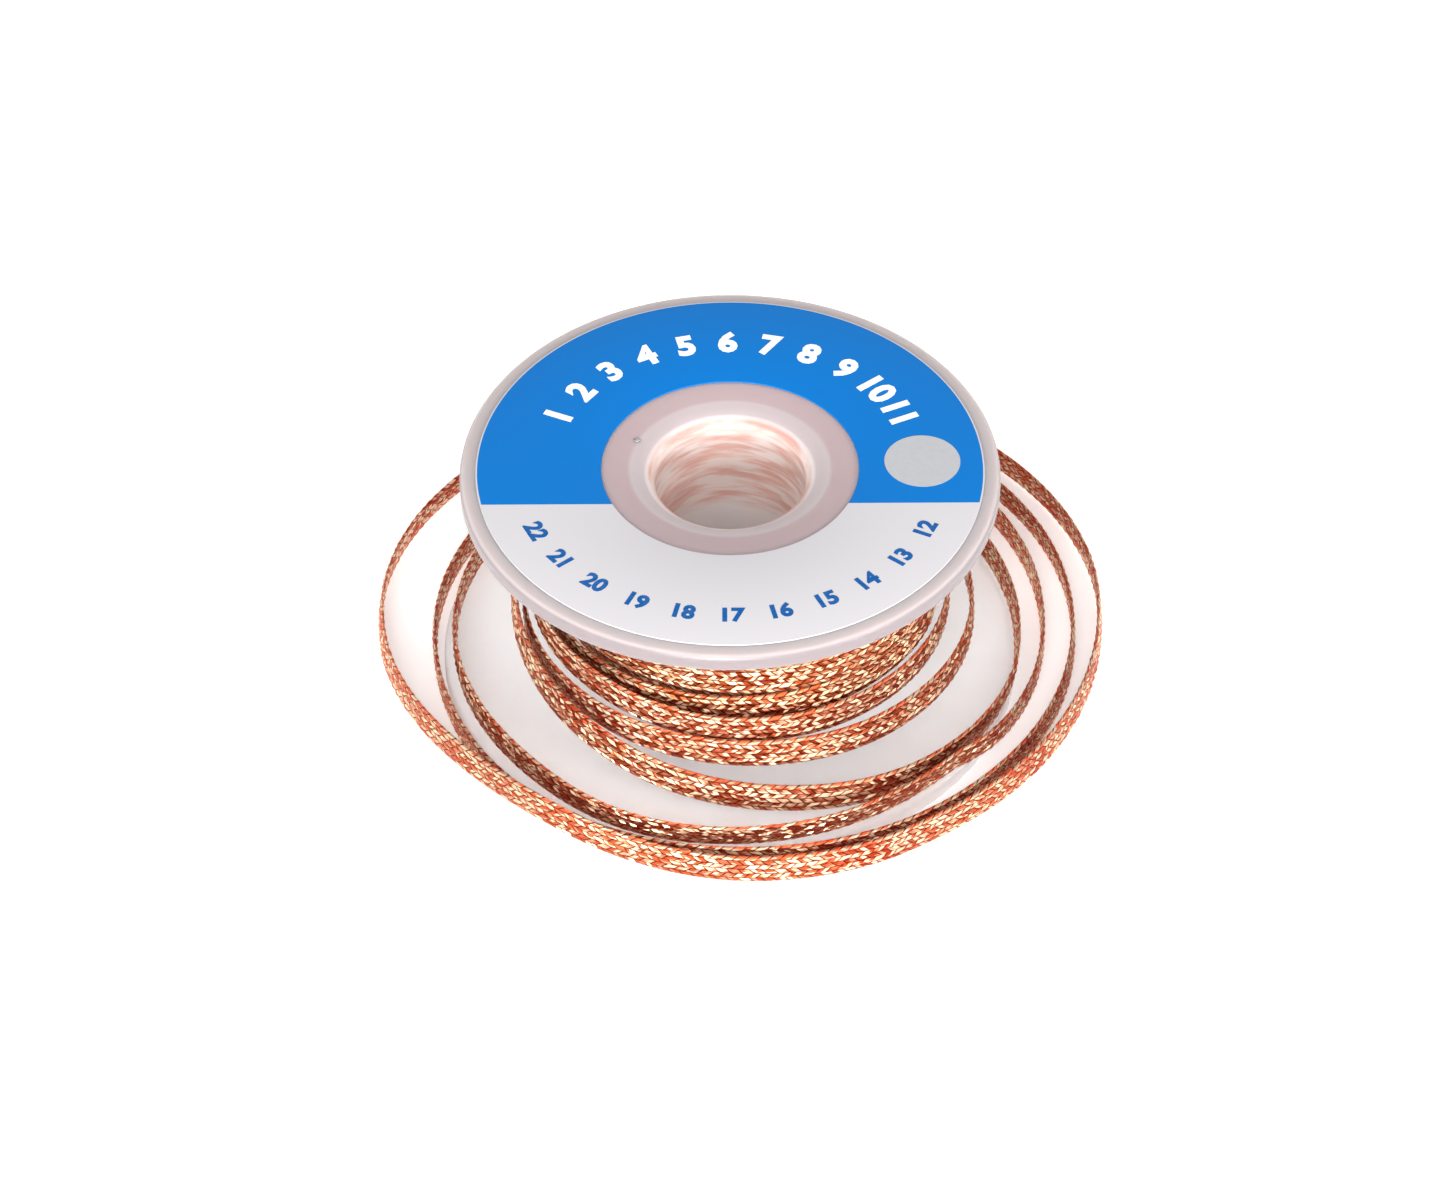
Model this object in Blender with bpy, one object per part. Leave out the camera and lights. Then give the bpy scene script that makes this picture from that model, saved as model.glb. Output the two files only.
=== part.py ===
"""Desoldering braid on a small moulded spool, with its last turns sprung loose.

Metres, +Z up. The spool stands on its wide flange, and the origin is the centre of that
flange's underside. The spool's axis is Z.
"""

import math

import bmesh
import bpy
from mathutils import Vector

MM = 0.001

# The moulded spool: a wide lower flange, a hub tube and a smaller upper flange.
LOWER_FLANGE_D = 46.0 * MM
UPPER_FLANGE_D = 42.0 * MM
FLANGE_T = 1.5 * MM
WINDING_GAP = 17.3 * MM
HUB_D = 15.6 * MM
BORE_D = 11.8 * MM
RIM_ROUND = 0.4 * MM
HUB_FILLET = 0.3 * MM
# The upper end of the hub is dished, and the dish rolls over into the bore.
DISH_DEPTH = 0.5 * MM
BORE_LIP = 0.5 * MM
FOOT_CHAMFER = 0.3 * MM

# The printed ring label on the upper flange.
LABEL_D = 39.5 * MM
LABEL_HOLE_D = 20.0 * MM
LABEL_T = 0.12 * MM
LABEL_GAP = 0.05 * MM

# The flat braid.
BRAID_W = 2.5 * MM
BRAID_T = 0.45 * MM

# The braid that is still wound: its rows from the lower flange up, as layers on the hub.
WOUND_LAYERS = (6, 9, 13, 14, 14, 13, 12)
LAYER_PITCH = 0.5 * MM
WOUND_SEAT = 0.1 * MM
ROW_GROOVE = 0.2 * MM
TURN_GROOVE_W = 0.25 * MM
TURN_GROOVE_DEPTH = 0.15 * MM
LAYERS_PER_TURN_GROOVE = 2

# The loose turns, wound anticlockwise seen from above, as the turn's angle in degrees from +X, the
# radius of the braid's middle, the height of its lower edge and its lean, top edge inwards.
# The braid leaves the wound turns behind the spool and ends behind it.
LOOSE_ROUTE = (
    (100, 15.4, 7.2, 0),
    (140, 15.5, 7.3, 0),
    (180, 15.7, 7.4, 0),
    (225, 15.7, 7.4, 2),
    (270, 16.4, 6.8, 4),
    (315, 16.7, 6.3, 3),
    (360, 17.3, 5.9, 0),
    (405, 17.6, 5.5, 0),
    (450, 17.1, 5.2, 0),
    (495, 16.6, 5.2, 0),
    (540, 16.4, 5.2, 0),
    (585, 16.4, 5.1, 2),
    (630, 17.15, 5.0, 8),
    (675, 18.2, 4.5, 8),
    (720, 19.3, 4.0, 3),
    (765, 19.5, 4.3, 0),
    (810, 18.6, 5.0, 0),
    (855, 17.8, 5.8, 3),
    (900, 17.2, 6.1, 8),
    (945, 17.45, 4.0, 10),
    (970, 17.8, 2.6, 12),
    (1000, 19.1, 1.7, 11),
    (1030, 21.5, 1.6, 5),
    (1060, 22.9, 1.6, -4),
    (1080, 23.0, 1.6, -6),
    (1125, 22.8, 1.6, -4),
    (1170, 22.5, 1.6, 0),
    (1215, 22.3, 1.6, 0),
    (1260, 22.1, 1.6, 0),
    (1300, 21.8, 1.6, 4),
    (1330, 22.6, 1.6, -6),
    (1360, 22.7, 1.6, -12),
    (1395, 22.75, 1.6, -10),
    (1404, 23.4, 1.6, -8),
    (1413, 24.0, 1.2, -4),
    (1440, 25.1, 0.1, 0),
    (1465, 26.2, 0.1, 0),
    (1485, 26.6, 0.1, 0),
    (1530, 26.0, 0.1, 0),
    (1575, 24.7, 0.1, 0),
    (1605, 24.1, 0.1, 0),
    (1635, 23.5, 0.1, 0),
    (1665, 23.5, 0.1, 0),
    (1710, 23.6, 0.1, 0),
    (1755, 25.2, 0.1, 2),
    (1790, 27.1, 0.1, 4),
    (1820, 28.3, 0.1, 4),
    (1845, 28.7, 0.1, 4),
    (1890, 29.3, 0.1, 6),
    (1935, 29.5, 0.1, 8),
    (1960, 29.2, 0.1, 8),
    (1980, 27.9, 0.1, 8),
    (2010, 24.9, 0.5, 8),
    (2030, 24.2, 1.1, 8),
    (2050, 24.2, 0.5, 8),
    (2070, 24.7, 0.1, 8),
    (2095, 25.5, 0.1, 8),
    (2115, 26.2, 0.1, 8),
    (2160, 29.6, 0.1, 6),
    (2180, 30.9, 0.1, 4),
    (2205, 31.3, 0.1, 4),
    (2250, 30.9, 0.1, 4),
)
# The braid's points lie two widths apart.
ROUTE_STEP = 2.0 * BRAID_W

SPOOL_SIDES = 64
WOUND_SIDES = 48
ROUND_STEPS = 3


def clear_scene():
    for thing in list(bpy.data.objects):
        bpy.data.objects.remove(thing, do_unlink=True)


def material(name, colour, roughness, metallic=0.0, transmission=0.0):
    made = bpy.data.materials.new(name)
    made.use_nodes = True
    shader = made.node_tree.nodes["Principled BSDF"]
    shader.inputs["Base Color"].default_value = (*colour, 1.0)
    shader.inputs["Roughness"].default_value = roughness
    shader.inputs["Metallic"].default_value = metallic
    shader.inputs["Transmission Weight"].default_value = transmission
    made.diffuse_color = (*colour, 1.0)
    return made


def arc(centre, radius, start, end):
    """Points of a rounding in the (radius, height) plane, with angles in degrees."""
    points = []
    for step in range(ROUND_STEPS + 1):
        angle = math.radians(start + (end - start) * step / ROUND_STEPS)
        points.append((centre[0] + radius * math.cos(angle), centre[1] + radius * math.sin(angle)))
    return points


def turned(name, outline, sides, finish):
    """A closed ring made by turning an outline of (radius, height) points about Z."""
    mesh = bpy.data.meshes.new(name)
    shape = bmesh.new()
    corners = [shape.verts.new((radius, 0.0, height)) for radius, height in outline]
    edges = [shape.edges.new((corners[i - 1], corners[i])) for i in range(len(corners))]
    bmesh.ops.spin(
        shape,
        geom=corners + edges,
        cent=(0.0, 0.0, 0.0),
        axis=(0.0, 0.0, 1.0),
        angle=math.tau,
        steps=sides,
        use_merge=True,
    )
    bmesh.ops.recalc_face_normals(shape, faces=shape.faces)
    shape.to_mesh(mesh)
    shape.free()
    mesh.materials.append(finish)
    mesh.shade_smooth()
    mesh.set_sharp_from_angle(angle=math.radians(30))
    ring = bpy.data.objects.new(name, mesh)
    bpy.context.collection.objects.link(ring)
    return ring


def spool_outline():
    """The spool's section, from the foot of the bore outwards and back over the top."""
    bore, hub = BORE_D / 2, HUB_D / 2
    lower, upper = LOWER_FLANGE_D / 2, UPPER_FLANGE_D / 2
    floor_top = FLANGE_T
    roof_under = floor_top + WINDING_GAP
    top = roof_under + FLANGE_T
    half = RIM_ROUND
    points = [(bore + FOOT_CHAMFER, 0.0)]
    points += arc((lower - half, half), half, -90, 0)
    points += arc((lower - half, floor_top - half), half, 0, 90)
    points += arc((hub + HUB_FILLET, floor_top + HUB_FILLET), HUB_FILLET, 270, 180)
    points += arc((hub + HUB_FILLET, roof_under - HUB_FILLET), HUB_FILLET, 180, 90)
    points += arc((upper - half, roof_under + half), half, -90, 0)
    points += arc((upper - half, top - half), half, 0, 90)
    points += [(hub, top)]
    points += arc((bore + BORE_LIP, top - DISH_DEPTH - BORE_LIP), BORE_LIP, 90, 180)
    points += [(bore, FOOT_CHAMFER)]
    return points


def spool_top():
    return 2 * FLANGE_T + WINDING_GAP


def label_outline():
    low = spool_top() + LABEL_GAP
    high = low + LABEL_T
    hole, edge = LABEL_HOLE_D / 2, LABEL_D / 2
    return [(hole, low), (edge, low), (edge, high), (hole, high)]


def wound_outline():
    """The wound turns' section: each row of the braid shows on the side, and every second turn on
    the two ends."""
    inner = HUB_D / 2 + HUB_FILLET + WOUND_SEAT
    low = FLANGE_T + WOUND_SEAT
    high = FLANGE_T + WINDING_GAP - WOUND_SEAT
    row_height = (high - low) / len(WOUND_LAYERS)
    radii = [HUB_D / 2 + layers * LAYER_PITCH for layers in WOUND_LAYERS]
    foot = [(inner, low)] + turn_grooves(inner, radii[0], low, TURN_GROOVE_DEPTH)
    sides = []
    for row, radius in enumerate(radii):
        base = low + row * row_height
        sides += [
            (radius - ROW_GROOVE, base),
            (radius, base + ROW_GROOVE),
            (radius, base + row_height - ROW_GROOVE),
            (radius - ROW_GROOVE, base + row_height),
        ]
    sides = merged(sides)
    head = turn_grooves(inner, radii[-1], high, -TURN_GROOVE_DEPTH)[::-1] + [(inner, high)]
    return foot + sides + head


def turn_grooves(inner, outer, height, depth):
    """V grooves between the turns on one end of the wound braid, from the inside out."""
    pitch = LAYER_PITCH * LAYERS_PER_TURN_GROOVE
    points = []
    count = int((outer - ROW_GROOVE - inner) / pitch - 0.5)
    for turn in range(count):
        middle = inner + (turn + 1) * pitch
        points += [
            (middle - TURN_GROOVE_W / 2, height),
            (middle, height + depth),
            (middle + TURN_GROOVE_W / 2, height),
        ]
    return points


def merged(points):
    """The points without repeats of the one before."""
    kept = []
    for point in points:
        if not kept or math.dist(kept[-1], point) > 0.01 * MM:
            kept.append(point)
    return kept


def smooth_route(share):
    """Angle, radius, height and lean at a share of the route, on a smooth curve through its points."""
    spans = len(LOOSE_ROUTE) - 1
    place = min(share * spans, spans - 1e-9)
    span = int(place)
    along = place - span
    stations = [LOOSE_ROUTE[min(max(span + k, 0), spans)] for k in (-1, 0, 1, 2)]
    return [blended(*values, along) for values in zip(*stations)]


def blended(before, start, end, after, along):
    """A Catmull-Rom blend between start and end."""
    return 0.5 * (
        2 * start
        + (end - before) * along
        + (2 * before - 5 * start + 4 * end - after) * along**2
        + (3 * start - before - 3 * end + after) * along**3
    )


def station(share):
    """The middle of the braid's section and its lean, at a share of the route."""
    angle, radius, height, lean = smooth_route(share)
    turn = math.radians(angle)
    middle = Vector((radius * MM * math.cos(turn), radius * MM * math.sin(turn), 0.0))
    middle.z = height * MM + BRAID_W / 2
    return middle, math.radians(lean)


def loose_points():
    """Points two braid widths apart along the loose turns, from the wound braid to the free end."""
    samples = 40 * (len(LOOSE_ROUTE) - 1)
    fine = [station(i / samples) for i in range(samples + 1)]
    reach = [0.0]
    for (before, _), (after, _) in zip(fine, fine[1:]):
        reach.append(reach[-1] + (after - before).length)
    count = round(reach[-1] / ROUTE_STEP)
    points = []
    place = 0
    for i in range(count + 1):
        wanted = reach[-1] * i / count
        while place < samples - 1 and reach[place + 1] < wanted:
            place += 1
        share = (wanted - reach[place]) / (reach[place + 1] - reach[place])
        (before, lean_before), (after, lean_after) = fine[place], fine[place + 1]
        points.append((before.lerp(after, share), lean_before + (lean_after - lean_before) * share))
    return points


def braid_loose(finish):
    """The sprung turns: a flat strip on edge, as a curve with its width upright."""
    points = loose_points()
    curve = bpy.data.curves.new("braid_loose", "CURVE")
    curve.dimensions = "3D"
    curve.twist_mode = "Z_UP"
    curve.bevel_depth = BRAID_T / 2
    curve.extrude = (BRAID_W - BRAID_T) / 2
    curve.bevel_resolution = 1
    curve.use_fill_caps = True
    spline = curve.splines.new("POLY")
    spline.points.add(len(points) - 1)
    for point, (middle, lean) in zip(spline.points, points):
        point.co = (*middle, 1.0)
        point.tilt = lean
    curve.materials.append(finish)
    strip = bpy.data.objects.new("braid_loose", curve)
    bpy.context.collection.objects.link(strip)
    return strip


clear_scene()
plastic = material("natural_plastic", (0.80, 0.75, 0.74), 0.35, transmission=0.2)
paper = material("printed_label", (0.02, 0.21, 0.78), 0.4)
copper_wound = material("wound_copper", (0.55, 0.16, 0.08), 0.4, metallic=1.0)
copper_loose = material("loose_copper", (0.62, 0.20, 0.10), 0.4, metallic=1.0)
turned("spool", spool_outline(), SPOOL_SIDES, plastic)
turned("label", label_outline(), SPOOL_SIDES, paper)
turned("braid_wound", wound_outline(), WOUND_SIDES, copper_wound)
braid_loose(copper_loose)
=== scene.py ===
"""The looks of a small spool of desoldering braid, with its last turns sprung loose around it."""
import math

import bmesh
import bpy
import mathutils
import numpy as np
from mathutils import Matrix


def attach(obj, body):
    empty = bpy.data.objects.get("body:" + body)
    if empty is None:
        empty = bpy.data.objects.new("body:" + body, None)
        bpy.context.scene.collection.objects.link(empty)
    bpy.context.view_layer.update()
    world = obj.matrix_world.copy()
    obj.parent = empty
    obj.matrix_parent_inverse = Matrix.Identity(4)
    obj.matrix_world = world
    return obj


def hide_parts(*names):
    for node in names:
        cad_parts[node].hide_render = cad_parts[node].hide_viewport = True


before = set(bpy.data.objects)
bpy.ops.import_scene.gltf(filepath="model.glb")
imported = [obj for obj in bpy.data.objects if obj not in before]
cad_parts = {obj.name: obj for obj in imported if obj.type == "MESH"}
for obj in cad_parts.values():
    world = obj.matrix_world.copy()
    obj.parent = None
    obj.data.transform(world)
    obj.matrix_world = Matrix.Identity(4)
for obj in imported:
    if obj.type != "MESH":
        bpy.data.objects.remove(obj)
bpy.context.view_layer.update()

# The camera. A long lens looks down at the spool from the front, at 44 degrees below level,
# and its picture is as wide as the photograph's.
CAMERA_PLACE = (-0.0009, -0.2640, 0.2608)
CAMERA_TURN = (46.158, 0.195, -0.187)
LENS_MM = 115.16
SENSOR_MM = 36.0

lens = bpy.data.cameras.new("camera")
lens.lens = LENS_MM
lens.sensor_width = SENSOR_MM
lens.clip_start = 0.01
camera = bpy.data.objects.new("camera", lens)
camera.location = CAMERA_PLACE
camera.rotation_euler = [math.radians(turn) for turn in CAMERA_TURN]
bpy.context.scene.collection.objects.link(camera)
bpy.context.scene.camera = camera

# The loose turns of the braid. It is a flat tube plaited from fine bare copper wires and pressed
# flat, so each face shows rows of slanted strands, and the two edges are rounded. It has sprung
# off the hub, stands on edge, and ends in a cut behind the spool.
MM = 0.001
BRAID_WIDTH = 2.5 * MM
BRAID_THICKNESS = 0.45 * MM
STRAND_RELIEF = 0.12 * MM
STRAND_PITCH = 0.9 * MM
STRAND_SLANT = 0.5 * MM
STRAND_ROWS = 3
EDGE_BUMP = 0.03 * MM
STEPS_PER_STRAND = 4
COLUMNS_PER_FACE = 2 * STRAND_ROWS
WIRES_PER_STRAND = 6
RELIEF_SPREAD = (0.75, 1.1)
EDGE_SQUARENESS = 4
AT_THE_EDGE = 0.99
WELD_REACH = 0.002 * MM
WIRE_BUMP = 0.01 * MM
LEAN_BUMP = 0.35 * MM
LEVEL_CHANCE = 0.45
ROUTE_SAMPLES = 60
END_WIRES = 18
END_WIRE_THICKNESS = 0.13 * MM
END_WIRE_LENGTHS = (1.0 * MM, 2.2 * MM)
END_WIRE_ROOT = 0.4 * MM
END_WIRE_SIDES = 8
END_WIRES_UPWARD = (-0.25, 0.25)
END_WIRES_OUTWARD = (-0.3, 0.1)
END_SEED = 4

# The angle in degrees from +X, the radius of the braid's middle, the height of its lower edge and
# its lean in degrees, top edge inwards, with lengths in millimetres.
LOOSE_ROUTE = (
    (100, 15.4, 7.2, 0),
    (140, 15.5, 7.3, 0),
    (180, 15.7, 7.4, 0),
    (225, 15.7, 7.4, 2),
    (270, 16.4, 6.8, 4),
    (315, 16.7, 6.3, 3),
    (360, 17.3, 5.9, 0),
    (405, 17.6, 5.5, 0),
    (450, 17.1, 5.2, 0),
    (495, 16.6, 5.2, 0),
    (540, 16.4, 5.2, 0),
    (585, 16.4, 5.1, 2),
    (630, 17.15, 5.0, 8),
    (675, 18.2, 4.5, 8),
    (720, 19.3, 4.0, 3),
    (765, 19.5, 4.3, 0),
    (810, 18.6, 5.0, 0),
    (855, 17.8, 5.8, 3),
    (900, 17.2, 6.1, 8),
    (945, 17.45, 4.0, 10),
    (970, 17.8, 2.6, 12),
    (1000, 19.1, 1.7, 11),
    (1030, 21.5, 1.6, 5),
    (1060, 22.9, 1.6, -4),
    (1080, 23.0, 1.6, -6),
    (1125, 22.8, 1.6, -4),
    (1170, 22.5, 1.6, 0),
    (1215, 22.3, 1.6, 0),
    (1260, 22.1, 1.6, 0),
    (1300, 21.8, 1.6, 4),
    (1330, 22.6, 1.6, -6),
    (1360, 22.7, 1.6, -12),
    (1395, 22.75, 1.6, -10),
    (1404, 23.4, 1.6, -8),
    (1413, 24.0, 1.2, -4),
    (1440, 25.1, 0.1, 0),
    (1465, 26.2, 0.1, 0),
    (1485, 26.6, 0.1, 0),
    (1530, 26.0, 0.1, 0),
    (1575, 24.7, 0.1, 0),
    (1605, 24.1, 0.1, 0),
    (1635, 23.5, 0.1, 0),
    (1665, 23.5, 0.1, 0),
    (1710, 23.6, 0.1, 0),
    (1755, 25.2, 0.1, 2),
    (1790, 27.1, 0.1, 4),
    (1820, 28.3, 0.1, 4),
    (1845, 28.7, 0.1, 4),
    (1890, 29.3, 0.1, 6),
    (1935, 29.5, 0.1, 8),
    (1960, 29.2, 0.1, 8),
    (1980, 27.9, 0.1, 8),
    (2010, 24.9, 0.5, 8),
    (2030, 24.2, 1.1, 8),
    (2050, 24.2, 0.5, 8),
    (2070, 24.7, 0.1, 8),
    (2095, 25.5, 0.1, 8),
    (2115, 26.2, 0.1, 8),
    (2160, 29.6, 0.1, 6),
    (2180, 30.9, 0.1, 4),
    (2205, 31.3, 0.1, 4),
    (2250, 30.9, 0.1, 4),
)


def smooth_route(route, samples):
    """The route's rows on a Catmull-Rom curve through them, with this many samples to a span."""
    knots = np.array(route, float)
    knots = np.vstack((knots[:1], knots, knots[-1:]))
    part = np.linspace(0, 1, samples, endpoint=False)[:, None]
    spans = [
        0.5 * (2 * b + (c - a) * part + (2 * a - 5 * b + 4 * c - d) * part**2
               + (3 * b - a - 3 * c + d) * part**3)
        for a, b, c, d in zip(knots, knots[1:], knots[2:], knots[3:])
    ]
    return np.vstack(spans + [knots[-1:]])


def strip_line(rows):
    """The middle of a strip that stands on edge, its outward and upward directions, and how far
    along the strip each place is."""
    angle, radius, height, lean = np.array(rows).T
    turn, lean = np.radians(angle), np.radians(lean)[:, None]
    middle = np.column_stack((radius * np.cos(turn), radius * np.sin(turn), height)) * MM
    middle[:, 2] += BRAID_WIDTH / 2
    along = np.gradient(middle, axis=0)
    along /= np.linalg.norm(along, axis=1)[:, None]
    outward = np.cross(along, (0, 0, 1))
    outward /= np.linalg.norm(outward, axis=1)[:, None]
    upward = np.cross(outward, along)
    leaning = upward * np.cos(lean) - outward * np.sin(lean)
    facing = outward * np.cos(lean) + upward * np.sin(lean)
    reach = np.concatenate(([0], np.cumsum(np.linalg.norm(np.diff(middle, axis=0), axis=1))))
    return middle, facing, leaning, reach


def woven_strip(name, line, back_columns, seed):
    """A closed flat strip along a line, its faces raised into slanted strands that pass under
    their neighbours. A column is one slanted half of a row of strands. The columns on the back
    are an even number, so that the strip closes."""
    middle, facing, leaning, reach = line
    steps = int(reach[-1] / STRAND_PITCH * STEPS_PER_STRAND)
    front = 2 * COLUMNS_PER_FACE
    around = front + 2 * back_columns

    shape = bmesh.new()
    bmesh.ops.create_grid(shape, x_segments=steps, y_segments=around, size=0.5)
    mesh = bpy.data.meshes.new(name)
    shape.to_mesh(mesh)
    flat = np.empty(3 * len(mesh.vertices))
    mesh.vertices.foreach_get("co", flat)
    step = np.rint((flat[0::3] + 0.5) * steps).astype(int)
    ring = np.rint((flat[1::3] + 0.5) * around).astype(int)

    on_back = ring > front
    share = np.where(on_back, (ring - front) / (around - front), ring / front)
    across = np.where(on_back, share - 0.5, 0.5 - share) * BRAID_WIDTH
    side = np.where(on_back, -1.0, 1.0)
    edge = np.abs(across) / (BRAID_WIDTH / 2)
    rounding = np.sqrt(np.clip(1 - edge**EDGE_SQUARENESS, 0, 1))

    column = (ring % around) // 2
    on_ridge = ring % 2 == 1
    phase = (step + (column % 2) * STEPS_PER_STRAND // 2) % STEPS_PER_STRAND
    strand = (step + (column % 2) * STEPS_PER_STRAND // 2) // STEPS_PER_STRAND
    raised = np.sin(np.pi * phase / STEPS_PER_STRAND) * np.where(on_ridge, 1.0, 0.0)
    chance = np.random.default_rng(seed).uniform(*RELIEF_SPREAD, (strand.max() + 1, around))
    raised = raised * chance[strand, column]
    half = (BRAID_THICKNESS / 2 - STRAND_RELIEF) * rounding + STRAND_RELIEF * raised * rounding
    half = np.minimum(half, BRAID_THICKNESS / 2)
    from_end = np.minimum(step, steps - step) / STEPS_PER_STRAND
    slant = np.where(on_ridge, 0.0, np.where(ring % 4 == 0, 0.5, -0.5)) * STRAND_SLANT
    slant = slant * np.minimum(from_end, 1)
    place = step * reach[-1] / steps + slant
    is_edge = edge > AT_THE_EDGE
    across = across * np.where(is_edge & (phase % 2 == 0), 1 - 2 * EDGE_BUMP / BRAID_WIDTH, 1)

    def at(values):
        return np.column_stack([np.interp(place, reach, values[:, axis]) for axis in range(3)])

    spot = at(middle) + at(leaning) * across[:, None] + at(facing) * (side * half)[:, None]
    mesh.vertices.foreach_set("co", spot.ravel())
    layer = mesh.uv_layers.new(name="weave")
    corner = np.empty(len(mesh.loops), dtype=int)
    mesh.loops.foreach_get("vertex_index", corner)
    counted = step / STEPS_PER_STRAND + slant / STRAND_PITCH
    layer.data.foreach_set("uv", np.column_stack((counted, ring / 2))[corner].ravel())

    shape.clear()
    shape.from_mesh(mesh)
    bmesh.ops.remove_doubles(shape, verts=shape.verts, dist=WELD_REACH)
    open_edges = [edge for edge in shape.edges if edge.is_boundary]
    bmesh.ops.edgeloop_fill(shape, edges=open_edges)
    bmesh.ops.recalc_face_normals(shape, faces=shape.faces)
    shape.to_mesh(mesh)
    shape.free()
    mesh.shade_smooth()
    strip = bpy.data.objects.new(name, mesh)
    bpy.context.scene.collection.objects.link(strip)
    return strip


def linear(hexcode):
    """A linear colour from an sRGB hex value."""
    channels = [int(hexcode[i:i + 2], 16) / 255 for i in (1, 3, 5)]
    return [c / 12.92 if c <= 0.04045 else ((c + 0.055) / 1.055) ** 2.4 for c in channels] + [1.0]


def node(tree, kind, settings=None, **links):
    """Adds a node, with its settings and with its inputs set or linked by name or number."""
    made = tree.nodes.new(kind)
    for name, value in (settings or {}).items():
        setattr(made, name, value)
    for name, value in links.items():
        key = int(name[1:]) if name[0] == "i" and name[1:].isdigit() else name.replace("_", " ")
        if isinstance(value, bpy.types.NodeSocket):
            tree.links.new(value, made.inputs[key])
        else:
            made.inputs[key].default_value = value
    return made


def new_material(name):
    """A material with an empty node tree, and that tree."""
    made = bpy.data.materials.new(name)
    made.use_nodes = True
    made.node_tree.nodes.clear()
    return made, made.node_tree


def calculate(tree, operation, *values):
    """The result of one sum on values or sockets."""
    inputs = {f"i{place}": value for place, value in enumerate(values)}
    return node(tree, "ShaderNodeMath", {"operation": operation}, **inputs).outputs[0]


def blend(tree, factor, first, second):
    """A colour that goes from the first to the second. Each is a hex value or a socket."""
    mixed = node(tree, "ShaderNodeMix", {"data_type": "RGBA"}, Factor=factor)
    for side, value in (("A", first), ("B", second)):
        if isinstance(value, str):
            mixed.inputs[side].default_value = linear(value)
        else:
            tree.links.new(value, mixed.inputs[side])
    return mixed.outputs["Result"]


# Bare copper wire, drawn and plaited: a warm metal that glints where a strand turns to the light,
# and redder where flux and handling have dulled it. The bright cream tone of some strands is a
# painted glint, and the dark tone in the gaps that the strands dive into is painted shade.
def plaited_copper(name, painted_glint_tone, dull, red, painted_gap_shade):
    finish, tree = new_material(name)
    weave = node(tree, "ShaderNodeUVMap", {"uv_map": "weave"})
    parts = node(tree, "ShaderNodeSeparateXYZ", Vector=weave.outputs[0])
    along, across = parts.outputs[0], parts.outputs[1]
    slant = STRAND_SLANT / STRAND_PITCH
    fold = calculate(tree, "PINGPONG", across, 1.0)
    slanted = calculate(tree, "MULTIPLY_ADD", fold, slant, along)
    straight = calculate(tree, "SUBTRACT", slanted, 0.5 * slant)
    column = calculate(tree, "FLOOR", across)
    strands = calculate(tree, "ADD", straight, calculate(tree, "MULTIPLY", column, 0.5))
    half_strand = calculate(tree, "FLOOR", calculate(tree, "MULTIPLY", strands, 2.0))
    half_column = calculate(tree, "FLOOR", calculate(tree, "MULTIPLY", across, 2.0))
    wires = calculate(tree, "MULTIPLY", strands, math.tau * WIRES_PER_STRAND)
    bump = node(tree, "ShaderNodeBump", Height=calculate(tree, "COSINE", wires),
                Distance=WIRE_BUMP, Strength=1.0)

    # Painted shade: the lines between strands, and the lines where a column dives under its
    # neighbour, take the dark gap tone; the dive lines fade out where the strands wrap round the
    # strip's edges.
    from_gap = calculate(tree, "PINGPONG", strands, 0.5)
    from_dive = calculate(tree, "PINGPONG", across, 0.5)
    from_edge = calculate(tree, "PINGPONG", across, COLUMNS_PER_FACE / 2)
    wrapped = calculate(tree, "SUBTRACT", 0.5, from_edge)
    over_edge = calculate(tree, "MAXIMUM", from_dive, wrapped)
    open_face = node(tree, "ShaderNodeMapRange", {"interpolation_type": "SMOOTHSTEP"},
                     Value=calculate(tree, "MINIMUM", from_gap, over_edge), From_Min=0.02,
                     From_Max=0.16)

    # Each half strand gets a random value. It mixes the plain tone towards the bright cream tone,
    # and below it also tilts the same cell through the lean bump, so the bright cells are the
    # tilted ones: the bright tone is a painted glint that adds to the glints from the lights.
    cell = node(tree, "ShaderNodeCombineXYZ", X=half_strand, Y=half_column)
    chance = node(tree, "ShaderNodeTexWhiteNoise", Vector=cell.outputs[0]).outputs["Value"]
    place = node(tree, "ShaderNodeTexCoord").outputs["Object"]
    patches = node(tree, "ShaderNodeTexNoise", Vector=place, Scale=300.0, Detail=3.0)
    spread = node(tree, "ShaderNodeMapRange", Value=patches.outputs[0], From_Min=0.35,
                  From_Max=0.65, To_Min=-0.1, To_Max=0.1)
    shade = node(tree, "ShaderNodeMapRange", {"interpolation_type": "SMOOTHSTEP"},
                 Value=calculate(tree, "ADD", chance, spread.outputs[0]), From_Min=0.25,
                 From_Max=0.95)
    heat = node(tree, "ShaderNodeTexNoise", Vector=place, Scale=110.0, Detail=2.0)
    reddened = node(tree, "ShaderNodeMapRange", {"interpolation_type": "SMOOTHSTEP"},
                    Value=heat.outputs[0], From_Min=0.54, From_Max=0.68)
    plain = blend(tree, reddened.outputs[0], dull, red)
    face = blend(tree, shade.outputs[0], plain, painted_glint_tone)
    colour = blend(tree, open_face.outputs[0], painted_gap_shade, face)

    slope = calculate(tree, "SUBTRACT", chance, LEVEL_CHANCE)
    tilted = calculate(tree, "MULTIPLY", slope, calculate(tree, "FRACT", across))
    leaning = node(tree, "ShaderNodeBump", Height=tilted, Distance=LEAN_BUMP, Strength=1.0,
                   Normal=bump.outputs[0])
    rough = node(tree, "ShaderNodeMapRange", Value=chance, To_Min=0.36, To_Max=0.28)
    shader = node(tree, "ShaderNodeBsdfPrincipled", Base_Color=colour, Metallic=1.0,
                  Roughness=rough.outputs[0], Normal=leaning.outputs[0])
    node(tree, "ShaderNodeOutputMaterial", Surface=shader.outputs[0])
    return finish


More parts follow.
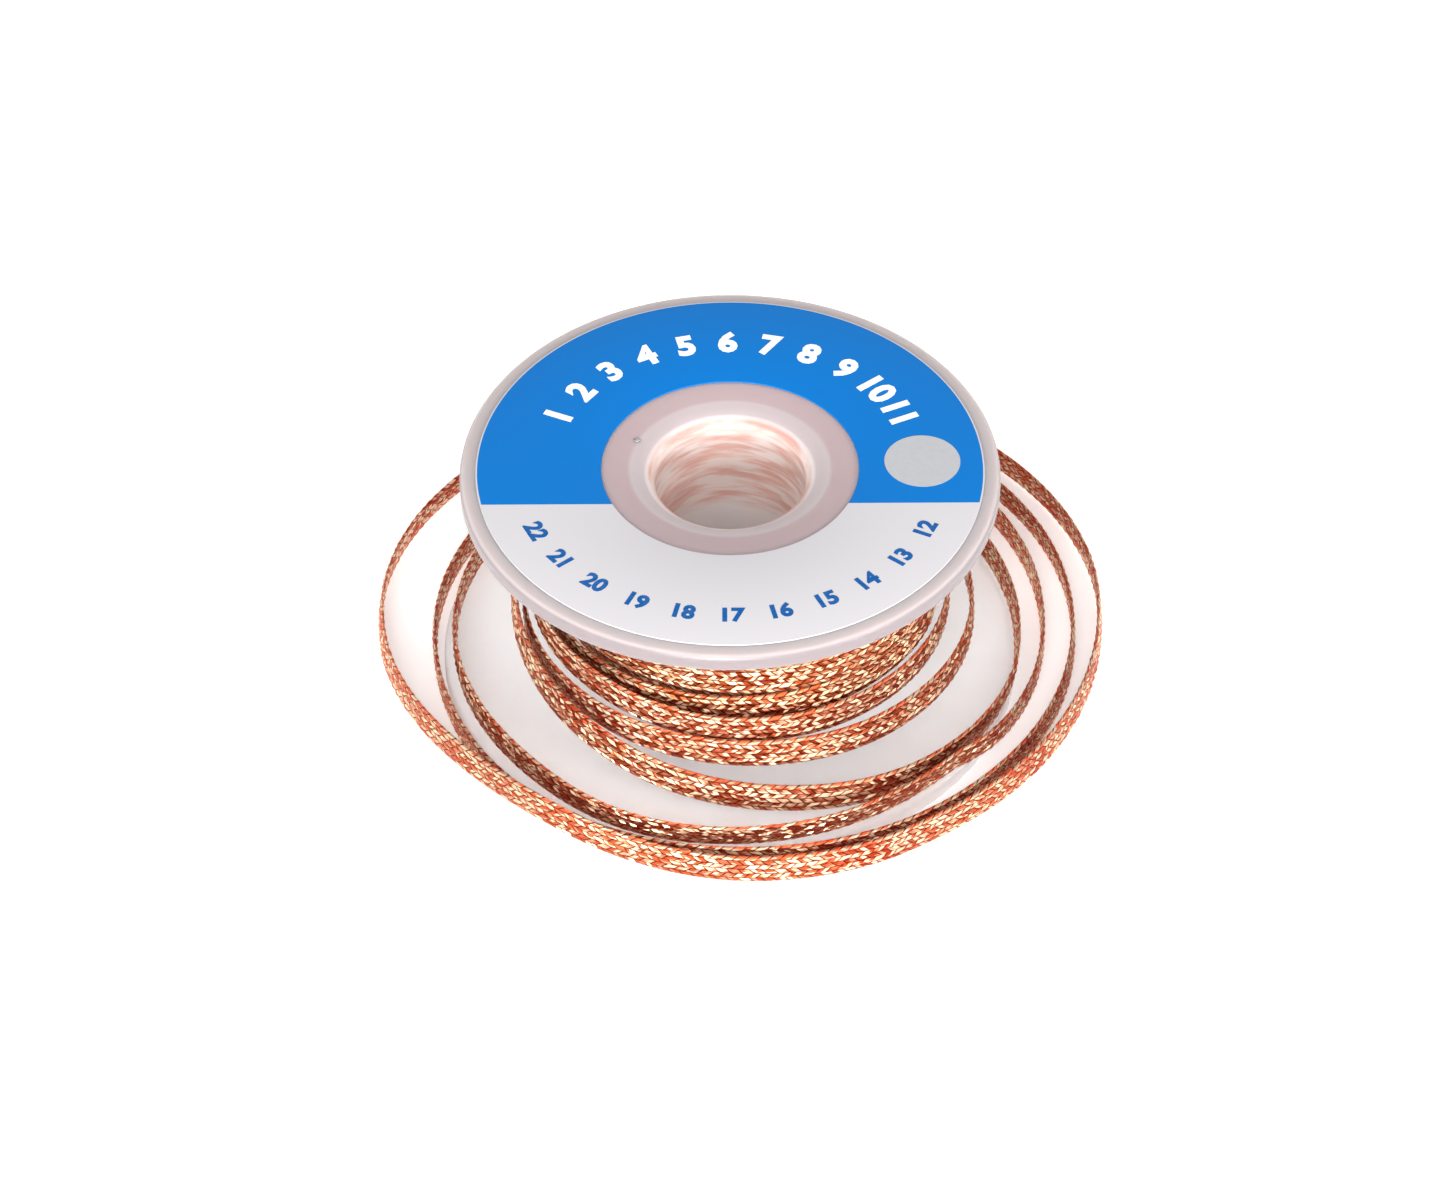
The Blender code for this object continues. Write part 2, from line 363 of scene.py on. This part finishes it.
loose_line = strip_line(smooth_route(LOOSE_ROUTE, ROUTE_SAMPLES))
braid_turns_loose = woven_strip("braid_turns_loose", loose_line, COLUMNS_PER_FACE, seed=3)
copper = plaited_copper(
    "bare_copper_plaited", painted_glint_tone="#ffdeb8", dull="#d66a44", red="#c64a2a", painted_gap_shade="#74200a"
)
braid_turns_loose.data.materials.append(copper)
end_wires = bmesh.new()
end_weave = end_wires.loops.layers.uv.new("weave")
end_spot, end_facing, end_upward = (part[-1] for part in loose_line[:3])
end_ahead = np.cross(end_upward, end_facing)
bend = np.random.default_rng(END_SEED)
for count in range(END_WIRES):
    side = (count % 2 - 0.5) * BRAID_THICKNESS * 0.5
    across = ((count + 0.5) / END_WIRES - 0.5) * (BRAID_WIDTH - 2 * END_WIRE_THICKNESS)
    length = bend.uniform(*END_WIRE_LENGTHS)
    aim = end_ahead + end_upward * bend.uniform(*END_WIRES_UPWARD)
    aim = aim + end_facing * bend.uniform(*END_WIRES_OUTWARD)
    root = end_spot + end_upward * across + end_facing * side - end_ahead * END_WIRE_ROOT
    turn = mathutils.Vector(aim).to_track_quat("Z", "Y").to_matrix().to_4x4()
    wire = bmesh.ops.create_cone(
        end_wires, cap_ends=True, segments=END_WIRE_SIDES, radius1=END_WIRE_THICKNESS / 2,
        radius2=END_WIRE_THICKNESS / 2, depth=length,
        matrix=mathutils.Matrix.Translation(root) @ turn
        @ mathutils.Matrix.Translation((0, 0, length / 2)),
    )
    for vert in wire["verts"]:
        for corner in vert.link_loops:
            corner[end_weave].uv = (count + 0.25, 0.5)
end_mesh = bpy.data.meshes.new("braid_end_wires")
end_wires.to_mesh(end_mesh)
end_wires.free()
end_mesh.materials.append(copper)
braid_end = bpy.data.objects.new("braid_end_wires", end_mesh)
bpy.context.scene.collection.objects.link(braid_end)
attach(braid_end, "root")
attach(braid_turns_loose, "root")
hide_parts("braid_loose")

# The turns still wound on the hub: the same braid, in rows that climb the hub one after another,
# and the last turns over them. Each turn shows its edges, and the rows beneath show in the gaps.
FLANGE_TOP = 1.5
FLANGE_UNDER = 18.8
UNDER_RADII = (10.6, 12.4, 13.5, 13.6, 13.5, 13.1)
UNDER_START = 1.65
UNDER_WANDER = 0.01
ROW_PITCH = 2.56
FLANGE_CLEARANCE = 0.1
DEGREES_PER_STEP = 3
DRIFT_RATES = (4.1, 7.3, 11.9)
TILT_RATES = (5.2, 9.7)
TILT_DEGREES = 4
OVER_SAMPLES = 20
UNDER_SEED = 11
HIDDEN_COLUMNS = 2
# The last turns have loosened and bow out at the two sides. The same four values as LOOSE_ROUTE.
OVER_ROUTE = (
    (90, 14.4, 6.3, 2),
    (180, 14.6, 7.2, 2),
    (225, 14.8, 7.5, 4),
    (270, 15.2, 7.8, 8),
    (315, 16.0, 8.3, 6),
    (345, 16.4, 8.5, 3),
    (380, 15.2, 8.2, 0),
    (405, 14.6, 8.6, 0),
    (450, 14.4, 8.9, 0),
    (495, 14.8, 9.4, 2),
    (540, 14.8, 10.1, 2),
    (585, 14.2, 10.2, 4),
    (630, 14.6, 10.3, 8),
    (675, 16.0, 10.8, 8),
    (705, 16.3, 11.0, 4),
    (765, 14.9, 11.15, 0),
    (810, 14.6, 11.45, 0),
    (855, 14.8, 12.0, 0),
    (900, 15.4, 12.7, 3),
    (945, 15.3, 12.7, 9),
    (990, 14.8, 12.85, 10),
    (1035, 15.8, 13.35, 6),
    (1065, 15.9, 13.55, 3),
    (1125, 14.6, 13.7, 0),
    (1170, 14.3, 14.0, 0),
    (1260, 14.9, 15.25, 3),
    (1350, 14.4, 15.6, 4),
    (1440, 14.7, 16.1, 2),
    (1500, 14.2, 16.2, 0),
)


def wound_rows(radii, start, wander, seed):
    """Route rows of a winding that climbs one row in each turn, and wanders a little."""
    highest = FLANGE_UNDER - BRAID_WIDTH / MM - FLANGE_CLEARANCE
    turns = (highest - start) / ROW_PITCH
    angles = np.arange(0, 360 * turns, DEGREES_PER_STEP, dtype=float)
    turn = angles / 360
    chance = np.random.default_rng(seed)
    drift = sum(
        chance.uniform(-1, 1) * np.sin(turn * rate + chance.uniform(0, math.tau))
        for rate in DRIFT_RATES
    )
    tilt = sum(
        chance.uniform(-1, 1) * np.sin(turn * rate + chance.uniform(0, math.tau))
        for rate in TILT_RATES
    )
    radius = np.interp(turn, np.arange(len(radii)) + 0.5, radii)
    height = start + ROW_PITCH * turn + wander * drift
    height = np.clip(height, FLANGE_TOP + FLANGE_CLEARANCE, highest)
    return np.column_stack((angles + 90, radius, height, TILT_DEGREES * tilt))


under_rows = wound_rows(UNDER_RADII, UNDER_START, UNDER_WANDER, UNDER_SEED)
over_rows = smooth_route(OVER_ROUTE, OVER_SAMPLES)
wound_under = woven_strip("braid_turns_under", strip_line(under_rows), HIDDEN_COLUMNS, seed=5)
wound_over = woven_strip("braid_turns_over", strip_line(over_rows), HIDDEN_COLUMNS, seed=6)
# The wound turns take a darker copy of the braid's tones, painted shade: their plain, red and gap
# tones are darker than on the loose turns.
shaded_wound_copper = plaited_copper(
    "bare_copper_plaited_wound", painted_glint_tone="#ffdcb2", dull="#c86238", red="#b83e1e", painted_gap_shade="#5c180a"
)
for turns in (wound_under, wound_over):
    turns.data.materials.append(shaded_wound_copper)
    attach(turns, "root")
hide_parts("braid_wound")

# The inner turns, which only show on the two ends of the winding and through the plastic.
CORE_RADII = (10.1, 10.2, 11.0, 12.4, 13.0, 12.7, 12.7)
CORE_ROW_RISE = 2.44
CORE_SIDES = 96
HUB_RADIUS = 7.8
HUB_CLEARANCE = 0.15
SAME_PLACE = 0.02 * MM
SHARP_ANGLE = 35
BEVEL_STEPS = 4


def turned(name, outline, sides, rounded):
    """A ring: an outline of (radius, height) corners in millimetres, spun about Z, with its edges
    at the rounded corners bevelled. A rounded corner is given as number: radius."""
    shape = bmesh.new()
    corners = [shape.verts.new((radius * MM, 0, height * MM)) for radius, height in outline]
    edges = [shape.edges.new((corners[i - 1], corners[i])) for i in range(len(corners))]
    bmesh.ops.spin(
        shape, geom=corners + edges, cent=(0, 0, 0), axis=(0, 0, 1), angle=math.tau,
        steps=sides, use_merge=True,
    )
    bmesh.ops.recalc_face_normals(shape, faces=shape.faces)
    for corner, size in rounded.items():
        radius, height = outline[corner]
        ring = [
            edge for edge in shape.edges
            if all(
                abs(math.hypot(vert.co.x, vert.co.y) - radius * MM) < SAME_PLACE
                and abs(vert.co.z - height * MM) < SAME_PLACE
                for vert in edge.verts
            )
        ]
        bmesh.ops.bevel(
            shape, geom=ring, offset=size * MM, offset_type="OFFSET", segments=BEVEL_STEPS,
            profile=0.5, affect="EDGES", material=-1,
        )
    mesh = bpy.data.meshes.new(name)
    shape.to_mesh(mesh)
    shape.free()
    mesh.shade_smooth()
    mesh.set_sharp_from_angle(angle=math.radians(SHARP_ANGLE))
    ring = bpy.data.objects.new(name, mesh)
    bpy.context.scene.collection.objects.link(ring)
    return ring


core_inside = HUB_RADIUS + HUB_CLEARANCE
core_foot = FLANGE_TOP + FLANGE_CLEARANCE
core_corners = [(core_inside, core_foot)]
for row, radius in enumerate(CORE_RADII):
    core_corners.append((radius, core_foot + row * CORE_ROW_RISE))
    core_corners.append((radius, core_foot + (row + 1) * CORE_ROW_RISE))
core_corners.append((core_inside, core_foot + len(CORE_RADII) * CORE_ROW_RISE))
core_corners = [c for i, c in enumerate(core_corners) if c != core_corners[i - 1]]
braid_core = turned("braid_inner_turns", core_corners, CORE_SIDES, {})
braid_core.data.materials.append(copper)
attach(braid_core, "root")

# The spool: one moulding in natural polypropylene, milky and a little translucent, with a soft
# gloss from a fine-ground mould. Its colour carries painted light: a painted copper glow where
# the wound copper lies close behind the wall, lighter and darker tones by height, and painted
# shade on the upper flange's rim and near the bore's mouth.
SPOOL_CORNERS = (
    (6.2, 0.0),
    (23.0, 0.0),
    (23.0, 1.5),
    (7.8, 1.5),
    (7.8, 18.8),
    (21.0, 18.8),
    (21.0, 20.3),
    (7.8, 20.3),
    (6.5, 19.85),
    (5.9, 19.3),
    (5.9, 0.3),
)
SPOOL_ROUNDS = {1: 0.4, 2: 0.4, 3: 0.3, 4: 0.3, 5: 0.4, 6: 0.4, 8: 0.3, 9: 0.3}
SPOOL_SIDES = 160
GATE_PLACE = (-7.25, 3.25, 20.3)
GATE_RADIUS = 0.3
GATE_HEIGHT = 0.08
GATE_SIDES = 24

# The zones of the plastic's tone, as two radii or two heights in millimetres, from none to full.
BORE_ZONE = (6.7, 6.3)
HUB_ZONE = (8.0, 7.7)
BESIDE_HUB_ZONE = (7.7, 8.0)
DISH_ZONE = (15.0, 12.0)
RIM_ZONE = (20.75, 20.95)
UPPER_FLANGE_ZONE = (17.5, 18.5)
RIM_WALL_ZONE = (20.32, 20.15)
LOW_ZONE = (12.0, 4.0)
COPPER_BEHIND_ZONE = (11.5, 13.0)
BORE_MOUTH_ZONE = (15.5, 17.5)

spool = turned("spool_moulding", SPOOL_CORNERS, SPOOL_SIDES, SPOOL_ROUNDS)


def zone(tree, length, none, full):
    """How far a length has come from none to full, in millimetres."""
    made = node(tree, "ShaderNodeMapRange", Value=length, From_Min=none * MM, From_Max=full * MM)
    return made.outputs[0]


def milky_plastic(name):
    finish, tree = new_material(name)
    place = node(tree, "ShaderNodeTexCoord").outputs["Object"]
    parts = node(tree, "ShaderNodeSeparateXYZ", Vector=place)
    height = parts.outputs[2]
    flat = node(tree, "ShaderNodeCombineXYZ", X=parts.outputs[0], Y=parts.outputs[1])
    radius = node(tree, "ShaderNodeVectorMath", {"operation": "LENGTH"}, i0=flat.outputs[0])
    radius = radius.outputs["Value"]
    low = zone(tree, height, *LOW_ZONE)
    on_top = zone(tree, height, *UPPER_FLANGE_ZONE)

    # Painted shade: the outer wall of the upper flange and its rounded edges are painted a darker
    # grey, fading out near the top, which also dims the highlight on the rounded top edge.
    rim = calculate(tree, "MULTIPLY", zone(tree, radius, *RIM_ZONE), on_top)
    rim = calculate(tree, "MULTIPLY", rim, zone(tree, height, *RIM_WALL_ZONE))
    # Painted copper glow: a mauve tone on both faces of the upper flange, from the hub out to 12
    # mm and fading by 15 mm, stands in for the wound copper's light in the plastic.
    painted_copper_glow_top = calculate(tree, "MULTIPLY", zone(tree, radius, *BESIDE_HUB_ZONE),
                         zone(tree, radius, *DISH_ZONE))
    painted_copper_glow_top = calculate(tree, "MULTIPLY", painted_copper_glow_top, on_top)
    # Painted light and shade by height: near white up to 4 mm, painted light for the lower flange,
    # which the upper flange and the loops shade, and grey above 12 mm, painted shade for the hub
    # and the upper flange, which the lights reach most.
    body = blend(tree, low, "#b8b0b0", "#fdfafa")
    with_painted_rim_shade = blend(tree, rim, body, "#867d7f")
    hub = blend(tree, zone(tree, radius, *HUB_ZONE), with_painted_rim_shade, "#bfb3b4")
    base = blend(tree, painted_copper_glow_top, hub, "#b8a3a5")

    # Painted copper glow: the upper part of the bore's wall and its chamfer are tinted pink, with
    # an uneven lower edge and horizontal streaks, where the wound copper would show through the
    # hub.
    in_bore = zone(tree, radius, *BORE_ZONE)
    cloud = node(tree, "ShaderNodeTexNoise", Vector=place, Scale=350.0, Detail=2.0)
    uneven = calculate(tree, "MULTIPLY_ADD", cloud.outputs[0], 1.6 * MM, height)
    behind = zone(tree, uneven, *COPPER_BEHIND_ZONE)
    painted_copper_glow_bore = calculate(tree, "MULTIPLY", in_bore, behind)
    stretched = node(tree, "ShaderNodeMapping", Vector=place, Scale=(1.0, 1.0, 7.0))
    streaks = node(tree, "ShaderNodeTexNoise", Vector=stretched.outputs[0], Scale=280.0,
                   Detail=3.0)
    streak = node(tree, "ShaderNodeMapRange", Value=streaks.outputs[0], From_Min=0.42,
                  From_Max=0.62)
    painted_copper_glow_streaked = blend(tree, streak.outputs[0], "#f2e4de", "#e4b8ac")
    # Painted shade: the bore's tint is darkened towards its mouth, from 15.5 mm up.
    bore_mouth_shade = node(tree, "ShaderNodeMapRange", Value=height, From_Min=BORE_MOUTH_ZONE[0] * MM,
                  From_Max=BORE_MOUTH_ZONE[1] * MM, To_Min=1.0, To_Max=0.72)
    painted_bore_mouth_shade = node(tree, "ShaderNodeHueSaturation", Value=bore_mouth_shade.outputs[0], Color=painted_copper_glow_streaked)
    bore = blend(tree, painted_copper_glow_bore, "#f7efed", painted_bore_mouth_shade.outputs[0])
    tint = blend(tree, in_bore, base, bore)

    grain = node(tree, "ShaderNodeTexNoise", Vector=place, Scale=2500.0)
    bump = node(tree, "ShaderNodeBump", Height=grain.outputs[0], Distance=0.01 * MM,
                Strength=0.25)
    shader = node(tree, "ShaderNodeBsdfPrincipled", Base_Color=tint, Roughness=0.32, IOR=1.49,
                  Subsurface_Weight=1.0, Subsurface_Radius=(1.0, 0.85, 0.8),
                  Subsurface_Scale=2.0 * MM, Normal=bump.outputs[0],
                  Transmission_Weight=calculate(tree, "MULTIPLY", low, 0.35))
    node(tree, "ShaderNodeOutputMaterial", Surface=shader.outputs[0])
    return finish


spool.data.materials.append(milky_plastic("natural_polypropylene_moulded"))
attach(spool, "root")
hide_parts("spool")

gate_mark = bmesh.new()
bmesh.ops.create_cone(
    gate_mark, cap_ends=True, segments=GATE_SIDES, radius1=GATE_RADIUS * MM,
    radius2=0.6 * GATE_RADIUS * MM,
    depth=2 * GATE_HEIGHT * MM,
    matrix=mathutils.Matrix.Translation([c * MM for c in GATE_PLACE]),
)
gate_mesh = bpy.data.meshes.new("spool_gate_mark")
gate_mark.to_mesh(gate_mesh)
gate_mark.free()
gate_mesh.materials.append(spool.data.materials[0])
gate = bpy.data.objects.new("spool_gate_mark", gate_mesh)
bpy.context.scene.collection.objects.link(gate)
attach(gate, "root")

# The label: a ring of white film with a satin face, printed blue above a straight border, and
# stuck on the upper flange.
LABEL_INNER = 10.0
LABEL_OUTER = 19.75
LABEL_LOW = 20.35
LABEL_TOP = 20.45
INK_TOP = 20.468
BORDER_Y = -4.25
WHITE_MARGIN = 0.12
LABEL_SIDES = 192
LABEL_ROUND = 0.04

label = turned(
    "label_film",
    ((LABEL_INNER, LABEL_LOW), (LABEL_OUTER, LABEL_LOW), (LABEL_OUTER, LABEL_TOP),
     (LABEL_INNER, LABEL_TOP)),
    LABEL_SIDES,
    {2: LABEL_ROUND, 3: LABEL_ROUND},
)


def printed_film(name):
    finish, tree = new_material(name)
    place = node(tree, "ShaderNodeTexCoord").outputs["Object"]
    parts = node(tree, "ShaderNodeSeparateXYZ", Vector=place)
    flat = node(tree, "ShaderNodeCombineXYZ", X=parts.outputs[0], Y=parts.outputs[1])
    radius = node(tree, "ShaderNodeVectorMath", {"operation": "LENGTH"}, i0=flat.outputs[0])
    above = calculate(tree, "GREATER_THAN", parts.outputs[1], BORDER_Y * MM)
    inside = calculate(tree, "LESS_THAN", radius.outputs["Value"],
                       (LABEL_OUTER - WHITE_MARGIN) * MM)
    blue = calculate(tree, "MULTIPLY", above, inside)
    colour = blend(tree, blue, "#cac7ca", "#0070c0")
    grain = node(tree, "ShaderNodeTexNoise", Vector=place, Scale=1800.0)
    bump = node(tree, "ShaderNodeBump", Height=grain.outputs[0], Distance=0.005 * MM,
                Strength=0.2)
    shader = node(tree, "ShaderNodeBsdfPrincipled", Base_Color=colour, Roughness=0.45, IOR=1.5,
                  Specular_IOR_Level=0.12, Normal=bump.outputs[0])
    node(tree, "ShaderNodeOutputMaterial", Surface=shader.outputs[0])
    return finish


label.data.materials.append(printed_film("white_film_printed"))
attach(label, "root")
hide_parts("label")

# What is printed on the label: a plain scale of numbers all the way round, white on the blue and
# blue on the white, and one grey dot. It is ink, a few hundredths of a millimetre thick.
NUMBERS_ON_EACH = 11
NUMBER_BOLD = 0.045
CAPITAL_SHARE = 0.7
# The first number, the radius and the height in millimetres, and the first and last angle.
WHITE_NUMBERS = (1, 14.6, 2.15, 156, 25)
BLUE_NUMBERS = (12, 16.6, 1.35, -26, -154)
DOT_CENTRE = (14.94, 0.52)
DOT_RADIUS = 2.95
DOT_SIDES = 96


def ink(name, colour):
    finish, tree = new_material(name)
    place = node(tree, "ShaderNodeTexCoord")
    dots = node(tree, "ShaderNodeTexNoise", Vector=place.outputs["Object"], Scale=3000.0)
    tone = node(tree, "ShaderNodeBrightContrast", Color=linear(colour))
    shade = node(tree, "ShaderNodeMapRange", Value=dots.outputs[0], To_Min=-0.03, To_Max=0.03)
    tree.links.new(shade.outputs[0], tone.inputs["Bright"])
    shader = node(tree, "ShaderNodeBsdfPrincipled", Roughness=0.5, Specular_IOR_Level=0.12)
    tree.links.new(tone.outputs[0], shader.inputs["Base Color"])
    node(tree, "ShaderNodeOutputMaterial", Surface=shader.outputs[0])
    return finish


def printed(name, shape, finish):
    """A finished piece of print from a bmesh, on the label."""
    bmesh.ops.remove_doubles(shape, verts=shape.verts, dist=WELD_REACH)
    bmesh.ops.recalc_face_normals(shape, faces=shape.faces)
    mesh = bpy.data.meshes.new(name)
    shape.to_mesh(mesh)
    shape.free()
    mesh.materials.append(finish)
    print_piece = bpy.data.objects.new(name, mesh)
    bpy.context.scene.collection.objects.link(print_piece)
    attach(print_piece, "root")


def numbers(first, radius, height, start, end, turned_over):
    """Plain numbers at even steps along an arc, in one bmesh."""
    shape = bmesh.new()
    for place, degrees in enumerate(np.linspace(start, end, NUMBERS_ON_EACH)):
        words = bpy.data.curves.new("number", "FONT")
        words.body = str(first + place)
        words.size = height * MM / CAPITAL_SHARE
        words.align_x = "CENTER"
        words.align_y = "CENTER"
        words.offset = NUMBER_BOLD * words.size
        words.extrude = (INK_TOP - LABEL_TOP) * MM
        words.resolution_u = 3
        holder = bpy.data.objects.new("number", words)
        flat = bpy.data.meshes.new_from_object(holder)
        outward = mathutils.Matrix.Rotation(math.radians(degrees - 90), 4, "Z")
        flat.transform(mathutils.Matrix.Rotation(math.pi * turned_over, 4, "Z"))
        flat.transform(mathutils.Matrix.Translation((0, radius * MM, LABEL_TOP * MM)))
        flat.transform(outward)
        shape.from_mesh(flat)
        bpy.data.objects.remove(holder)
        bpy.data.curves.remove(words)
        bpy.data.meshes.remove(flat)
    return shape


on_blue = numbers(*WHITE_NUMBERS, turned_over=False)
on_white = numbers(*BLUE_NUMBERS, turned_over=True)
printed("label_numbers_white", on_blue, ink("white_ink", "#f4f4f4"))
printed("label_numbers_blue", on_white, ink("blue_ink", "#17599c"))

dot = bmesh.new()
bmesh.ops.create_cone(
    dot, cap_ends=True, segments=DOT_SIDES, radius1=DOT_RADIUS * MM, radius2=DOT_RADIUS * MM,
    depth=(INK_TOP - LABEL_LOW) * MM,
    matrix=mathutils.Matrix.Translation((
        DOT_CENTRE[0] * MM, DOT_CENTRE[1] * MM, (INK_TOP + LABEL_LOW) / 2 * MM
    )),
)
printed("label_dot_grey", dot, ink("grey_ink", "#b4b5b8"))

# The floor and the light: a white table in a white studio that is brightest around its walls, with
# four softboxes, the strongest low in front, where the glints on the braid come from.
FLOOR_SIDE = 3.0
FLOOR_GLOW = 0.35
LIGHT_AIM = (0, 0, 0.01)
WALL_BRIGHTNESS = 1.3
CEILING_BRIGHTNESS = 0.4
floor_shape = bmesh.new()
bmesh.ops.create_grid(floor_shape, x_segments=1, y_segments=1, size=FLOOR_SIDE / 2)
floor_mesh = bpy.data.meshes.new("floor")
floor_shape.to_mesh(floor_mesh)
floor_shape.free()
floor = bpy.data.objects.new("floor", floor_mesh)
bpy.context.scene.collection.objects.link(floor)
floor_finish, floor_tree = new_material("white_table")
floor_shader = node(floor_tree, "ShaderNodeBsdfPrincipled", Roughness=0.9,
                    Base_Color=linear("#ffffff"), Emission_Color=linear("#ffffff"),
                    Emission_Strength=FLOOR_GLOW)
node(floor_tree, "ShaderNodeOutputMaterial", Surface=floor_shader.outputs[0])
floor_mesh.materials.append(floor_finish)


def softbox(name, place, size, power):
    """A rectangular area light, size wide and high, that faces the spool."""
    light = bpy.data.lights.new(name, "AREA")
    light.shape = "RECTANGLE"
    light.size, light.size_y = size
    light.energy = power
    lamp = bpy.data.objects.new(name, light)
    lamp.location = place
    aim = np.array(LIGHT_AIM) - np.array(place)
    flat_reach = math.hypot(aim[0], aim[1])
    lamp.rotation_euler = (math.atan2(flat_reach, -aim[2]), 0, math.atan2(-aim[0], aim[1]))
    bpy.context.scene.collection.objects.link(lamp)


softbox("softbox_front_high", (-0.05, -0.42, 0.40), (0.25, 0.25), 0.9)
softbox("softbox_front_low", (-0.06, -0.60, 0.17), (0.30, 0.14), 4.6)
softbox("softbox_right", (0.45, -0.35, 0.20), (0.20, 0.20), 1.4)
softbox("softbox_left", (-0.55, -0.15, 0.20), (0.20, 0.20), 0.25)

world = bpy.data.worlds.new("studio")
bpy.context.scene.world = world
world.use_nodes = True
sky = world.node_tree
direction = node(sky, "ShaderNodeTexCoord")
rise = node(sky, "ShaderNodeSeparateXYZ", Vector=direction.outputs["Generated"])
dimming = node(sky, "ShaderNodeMapRange", Value=rise.outputs[2], To_Min=WALL_BRIGHTNESS,
               To_Max=CEILING_BRIGHTNESS)
sky.links.new(dimming.outputs[0], sky.nodes["Background"].inputs["Strength"])
sky.nodes["Background"].inputs["Color"].default_value = (1.0, 1.0, 1.0, 1.0)
bpy.context.scene.view_settings.view_transform = "Standard"
